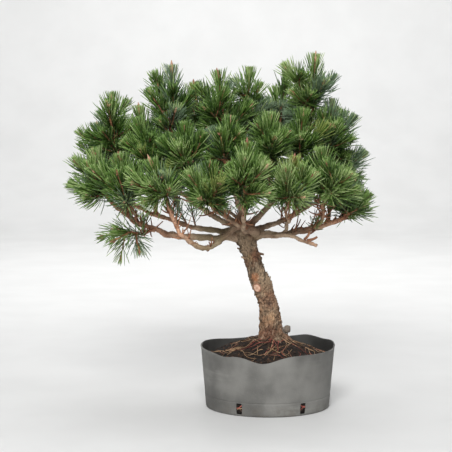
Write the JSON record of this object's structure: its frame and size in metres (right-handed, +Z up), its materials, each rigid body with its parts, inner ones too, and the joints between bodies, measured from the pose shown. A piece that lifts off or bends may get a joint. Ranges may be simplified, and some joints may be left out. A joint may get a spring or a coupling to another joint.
{
  "type": "potted mugo pine bonsai",
  "caption": "Young mugo pine bonsai with a leaning trunk and a broad needled crown in a low round grey pot with a soft wavy rim.",
  "frame": {"origin": "centre of the flat underside of the pot", "axes": "+X to the right seen from the front, +Y to the back, +Z up; the front, which shows in the picture, faces -Y"},
  "size_m": [0.4773, 0.3782, 0.5306],
  "materials": {
    "pot": "matt",
    "soil": "rough",
    "bark": "rough",
    "needles": "satin"
  },
  "bodies": {
    "root": {"pot": "pot", "soil": "soil", "trunk": "bark", "bough_back": "bark", "bough_back_high": "bark", "bough_back_left": "bark", "bough_back_left_up": "bark", "bough_back_rear": "bark", "bough_back_right": "bark", "bough_back_right_high": "bark", "bough_front": "bark", "bough_front_left": "bark", "bough_left": "bark", "bough_left_front": "bark", "bough_left_low": "bark", "bough_left_up": "bark", "bough_low_left": "bark", "bough_mid_left": "bark", "bough_right": "bark", "bough_right_high": "bark", "bough_right_in": "bark", "bough_right_up": "bark", "bough_stub": "bark", "bough_top_back": "bark", "bough_up_centre": "bark", "bough_up_centre_front": "bark", "bough_up_left": "bark", "bough_up_left_front": "bark", "bough_up_right": "bark", "bough_up_right_front": "bark", "bough_up_right_out": "bark", "bough_up_right_top": "bark", "foliage_back": "needles", "foliage_back_high": "needles", "foliage_back_left": "needles", "foliage_back_left_up": "needles", "foliage_back_rear": "needles", "foliage_back_right": "needles", "foliage_back_right_high": "needles", "foliage_front": "needles", "foliage_front_left": "needles", "foliage_left": "needles", "foliage_left_front": "needles", "foliage_left_low": "needles", "foliage_left_up": "needles", "foliage_low_left": "needles", "foliage_mid_left": "needles", "foliage_right": "needles", "foliage_right_high": "needles", "foliage_right_in": "needles", "foliage_right_up": "needles", "foliage_top_back": "needles", "foliage_up_centre": "needles", "foliage_up_centre_front": "needles", "foliage_up_left": "needles", "foliage_up_left_front": "needles", "foliage_up_right": "needles", "foliage_up_right_front": "needles", "foliage_up_right_out": "needles", "foliage_up_right_top": "needles"}
  },
  "joints": []
}
